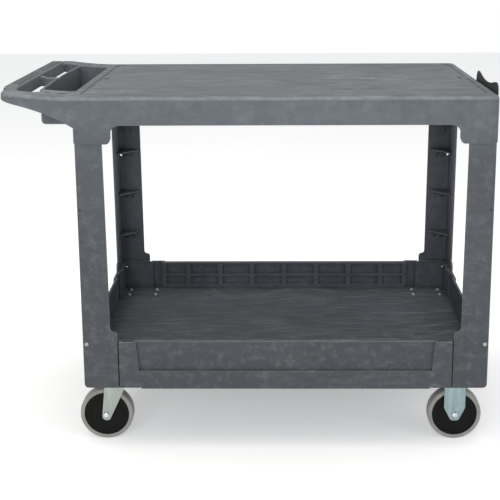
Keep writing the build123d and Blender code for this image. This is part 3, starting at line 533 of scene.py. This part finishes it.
def axle(corner, body):
    """Domed axle bolt with its nut, and the sleeve between the fork's sides."""
    centre = middle_of(f"{corner}_tyre")
    outward = -1 if centre.y < 0 else 1
    turn = Matrix.Translation(centre) @ Matrix.Diagonal((1, -outward, 1, 1))
    dome = []
    for step in range(9):
        angle = step * math.pi / 16
        dome.append((HEAD_RADIUS * math.cos(angle), -FORK_HALF - HEAD_RIM
                     - (HEAD_HEIGHT - HEAD_RIM) * math.sin(angle)))
    end = FORK_HALF + SHANK_END
    profile = dome[::-1] + [(HEAD_RADIUS, -FORK_HALF), (SHANK_RADIUS, -FORK_HALF),
                            (SHANK_RADIUS, end - SHANK_CHAMFER), (SHANK_RADIUS - SHANK_CHAMFER, end),
                            (0.0, end)]
    mesh = bmesh.new()
    lathe(mesh, profile, turn, 48)
    finish_piece(f"{corner}_axle_bolt_steel", mesh, "bolt_steel", body, [f"{corner}_axle_bolt"], 50, chrome)
    mesh = bmesh.new()
    hex_ring(mesh, NUT_ACROSS, SHANK_RADIUS, FORK_HALF, FORK_HALF + NUT_HEIGHT, turn)
    finish_piece(f"{corner}_axle_nut_steel", mesh, "bolt_steel", body, [f"{corner}_axle_nut"], 30)
    mesh = bmesh.new()
    tube = [(SHANK_RADIUS, -SLEEVE_HALF), (SLEEVE_RADIUS, -SLEEVE_HALF), (SLEEVE_RADIUS, SLEEVE_HALF),
            (SHANK_RADIUS, SLEEVE_HALF)]
    lathe(mesh, tube, turn, 48)
    finish_piece(f"{corner}_axle_sleeve_steel", mesh, "bolt_steel", body, [f"{corner}_axle_sleeve"], 30)


def span_at(outline, z):
    """Lowest and highest x of a closed outline at height z."""
    crossings = []
    for index, point in enumerate(outline):
        before = outline[index - 1]
        if (before.y - z) * (point.y - z) <= 0 and before.y != point.y:
            share = (z - before.y) / (point.y - before.y)
            crossings.append(before.x + share * (point.x - before.x))
    return min(crossings), max(crossings)


def pressing_rows(outline, crown_z, disc_radius):
    """Rows across the sheet of a fork: up one side, round the bend, over the crown and down the other side.
    Each is its y, its z, its outward direction, and its lowest and highest x."""
    low = min(point.y for point in outline)
    leg_top = crown_z - BEND
    side = []
    for step in range(SIDE_STEPS + 1):
        share = 1 - math.cos(step / SIDE_STEPS * math.pi / 2)
        z = low + 0.02 * MM + (leg_top - low) * share
        side.append((-FORK_HALF, z, Vector((0, -1, 0)), span_at(outline, z)))
    for step in range(1, BEND_STEPS):
        angle = step / BEND_STEPS * math.pi / 2
        side.append((-FORK_HALF + BEND * (1 - math.cos(angle)), leg_top + BEND * math.sin(angle),
                     Vector((0, -math.cos(angle), math.sin(angle))), span_at(outline, leg_top)))
    half_crown = FORK_HALF - BEND
    crown = []
    for step in range(CROWN_STEPS + 1):
        y = -half_crown + 2 * half_crown * step / CROWN_STEPS
        left, right = span_at(outline, leg_top)
        if disc_radius:
            reach = math.sqrt(max(0.0, disc_radius ** 2 - y ** 2))
            left = min(left, -reach)
            right = max(right, reach)
        crown.append((y, crown_z, Vector((0, 0, 1)), (left, right)))
    other_side = [(-y, z, Vector((0, -normal.y, normal.z)), span) for y, z, normal, span in reversed(side)]
    return side + crown + other_side


def pressed_fork(name, centre, outline, crown_z, disc_radius, emboss, body, replaced, material=None):
    """A fork pressed from one sheet: side, bend, crown, bend, side. Outline is a side's (x, z) path, and
    emboss(x, z) how far the sheet stands out of a side's face."""
    mesh = bmesh.new()
    outer = []
    inner = []
    for y, z, normal, (left, right) in pressing_rows(outline, crown_z, disc_radius):
        outer_row = []
        inner_row = []
        for column in range(COLUMNS + 1):
            x = left + (right - left) * (0.5 - 0.5 * math.cos(math.pi * column / COLUMNS))
            stand = emboss(x, z) if abs(normal.z) < 0.5 else 0.0
            place = centre + Vector((x, y, z)) + normal * stand
            outer_row.append(mesh.verts.new(place))
            inner_row.append(mesh.verts.new(place - normal * SHEET))
        outer.append(outer_row)
        inner.append(inner_row)
    for index in range(len(outer) - 1):
        for column in range(COLUMNS):
            mesh.faces.new((outer[index][column], outer[index][column + 1], outer[index + 1][column + 1],
                            outer[index + 1][column]))
            mesh.faces.new((inner[index][column], inner[index + 1][column], inner[index + 1][column + 1],
                            inner[index][column + 1]))
        for side in (0, COLUMNS):
            mesh.faces.new((outer[index][side], outer[index + 1][side], inner[index + 1][side],
                            inner[index][side]))
    for end in (0, len(outer) - 1):
        for column in range(COLUMNS):
            mesh.faces.new((outer[end][column], outer[end][column + 1], inner[end][column + 1],
                            inner[end][column]))
    piece = finish_piece(name, mesh, "zinc_steel", body, replaced, 40, material)
    add_bevel(piece, 0.7 * MM)


def within_one(value):
    """A value held between 0 and 1."""
    return max(0.0, min(1.0, value))


def swivel_caster(corner):
    """Pressed fork with its ball cup and the axle, riding on the swivel."""
    body = f"{corner}_swivel"
    pin = middle_of(f"{corner}_plate")
    pin.z = 0
    outline = rounded_path(millimetres([(-27.5, FORK_TOP, 0), (-27.3, 126, 3), (-34.6, FORK_BOTTOM, 9.6),
                                        (-16.4, FORK_BOTTOM, 6.8), (17.7, 122, 4), (20.5, FORK_TOP, 0)]))

    def crease(x, z):
        share = (x + 24 * MM) / (44 * MM)
        line = 0.52 - 0.25 * (FORK_TOP * MM - z) / (85 * MM)
        return 0.9 * MM * within_one(1 - abs(share - line) / 0.14) * within_one((z - 72 * MM) / (14 * MM))

    pressed_fork(f"{corner}_fork_pressing", pin, outline, FORK_TOP * MM, CROWN_DISC, crease, body,
                 [f"{corner}_fork"])
    cup = [(7, 134.3, 0), (27.2, 134.3, 0.8), (28, 135.2, 0.6), (28, 137.5, 0.8), (26.6, 137.5, 0.4),
           (25.8, 136.6, 0.5), (19.4, 136.6, 0.5), (18.6, 137.5, 0.4), (7, 137.5, 0)]
    profile = [(point.x, point.y) for point in rounded_path(millimetres(cup), 3)]
    upright = Matrix.Translation(pin) @ Matrix.Rotation(math.pi / 2, 4, "X")
    mesh = bmesh.new()
    lathe(mesh, profile, upright, 96)
    finish_piece(f"{corner}_ball_cup", mesh, "zinc_steel", body, [], 35)
    axle(corner, body)


def rigid_caster(corner):
    """Pressed bracket with an embossed panel on each side, and its axle, fixed to the frame."""
    centre = middle_of(f"{corner}_bracket")
    centre.z = 0
    outline = rounded_path(millimetres([(-25.7, BRACKET_TOP, 0), (-25.7, 81, 3), (-9.2, FORK_BOTTOM, 8.2),
                                        (8.4, FORK_BOTTOM, 8.2), (23.8, 81, 3), (23.8, BRACKET_TOP, 0)]))

    def panel(x, z):
        inside_x = within_one((17.5 * MM - abs(x)) / (2.0 * MM))
        inside_z = within_one((z - 73 * MM - 0.72 * abs(x)) / (3 * MM))
        return -1.5 * MM * inside_x * inside_z

    pressed_fork(f"{corner}_bracket_pressing", centre, outline, BRACKET_TOP * MM, 0, panel, "frame", [],
                 blue_zinc)
    plate = bmesh.new()
    low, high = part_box(f"{corner}_bracket")
    path = rounded_path([(low.x, low.y, PLATE_CORNER), (high.x, low.y, PLATE_CORNER),
                         (high.x, high.y, PLATE_CORNER), (low.x, high.y, PLATE_CORNER)])
    bottom = plate.faces.new([plate.verts.new((point.x, point.y, BRACKET_TOP * MM)) for point in path])
    raised = bmesh.ops.extrude_face_region(plate, geom=[bottom])["geom"]
    top = [corner_point for corner_point in raised if isinstance(corner_point, bmesh.types.BMVert)]
    bmesh.ops.translate(plate, verts=top, vec=(0, 0, SHEET))
    piece = finish_piece(f"{corner}_bracket_plate", plate, "zinc_steel", "frame", [f"{corner}_bracket"], 40,
                         blue_zinc)
    add_bevel(piece, 0.6 * MM)
    axle(corner, "frame")


for corner in ("front_left", "back_left", "front_right", "back_right"):
    wheel(corner)
for corner in ("front_left", "back_left"):
    swivel_caster(corner)
for corner in ("front_right", "back_right"):
    rigid_caster(corner)


# ---- studio ----

def area_light(name, place, target, size, power, colour):
    """A large soft light that faces its target. Size is its width and height."""
    data = bpy.data.lights.new(name, "AREA")
    data.shape = "RECTANGLE"
    data.size = size[0]
    data.size_y = size[1]
    data.energy = power
    data.color = colour
    lamp = bpy.data.objects.new(name, data)
    lamp.location = place
    lamp.rotation_euler = (Vector(target) - Vector(place)).to_track_quat("-Z", "Y").to_euler()
    bpy.context.scene.collection.objects.link(lamp)


def studio():
    """Pale floor, pale surroundings and soft lights."""
    mesh = bpy.data.meshes.new("floor")
    half = 9.0
    corners = [(-half, -half, 0), (half, -half, 0), (half, half, 0), (-half, half, 0)]
    mesh.from_pydata(corners, [], [(0, 1, 2, 3)])
    floor = bpy.data.objects.new("floor", mesh)
    bpy.context.scene.collection.objects.link(floor)
    material, _, shader = new_material("floor_paint")
    shader.inputs["Base Color"].default_value = (0.86, 0.86, 0.86, 1)
    shader.inputs["Roughness"].default_value = 0.8
    shader.inputs["Specular IOR Level"].default_value = 0.1
    shader.inputs["Emission Color"].default_value = (1, 1, 1, 1)
    shader.inputs["Emission Strength"].default_value = 0.34
    mesh.materials.append(material)
    world = bpy.data.worlds.new("studio")
    world.use_nodes = True
    background = world.node_tree.nodes["Background"]
    background.inputs["Color"].default_value = (0.97, 0.985, 1.0, 1)
    # plain white to look at, softer as a light
    path = world.node_tree.nodes.new("ShaderNodeLightPath")
    strength = ramp(world.node_tree, path.outputs["Is Camera Ray"], 0.0, 1.0, 0.62, 1.04)
    world.node_tree.links.new(strength, background.inputs["Strength"])
    bpy.context.scene.world = world
    bpy.context.scene.view_settings.view_transform = "Standard"
    area_light("top", (-0.3, -0.2, 3.4), (0.0, 0.0, 0.6), (3.4, 3.0), 62, (1.0, 0.95, 0.84))
    area_light("front", (-0.9, -4.4, 1.9), (0.0, 0.0, 0.5), (2.2, 1.4), 56, (0.91, 0.96, 1.0))
    area_light("right", (2.8, -2.2, 1.8), (0.3, 0.0, 0.5), (1.4, 1.4), 12, (0.92, 0.96, 1.0))


def camera():
    """The camera where the photograph was taken from."""
    forward = Vector((math.sin(CAMERA_YAW) * math.cos(CAMERA_PITCH),
                      math.cos(CAMERA_YAW) * math.cos(CAMERA_PITCH), -math.sin(CAMERA_PITCH)))
    right = Vector((math.cos(CAMERA_YAW), -math.sin(CAMERA_YAW), 0))
    up = right.cross(forward)
    side = math.cos(CAMERA_ROLL) * right + math.sin(CAMERA_ROLL) * up
    top = -math.sin(CAMERA_ROLL) * right + math.cos(CAMERA_ROLL) * up
    data = bpy.data.cameras.new("camera")
    data.lens = CAMERA_LENS
    data.sensor_width = 36
    data.shift_x, data.shift_y = CAMERA_SHIFT
    data.clip_end = 50
    eye = bpy.data.objects.new("camera", data)
    eye.matrix_world = Matrix.Translation(CAMERA_PLACE) @ Matrix((side, top, -forward)).transposed().to_4x4()
    bpy.context.scene.collection.objects.link(eye)
    bpy.context.scene.camera = eye


studio()
camera()
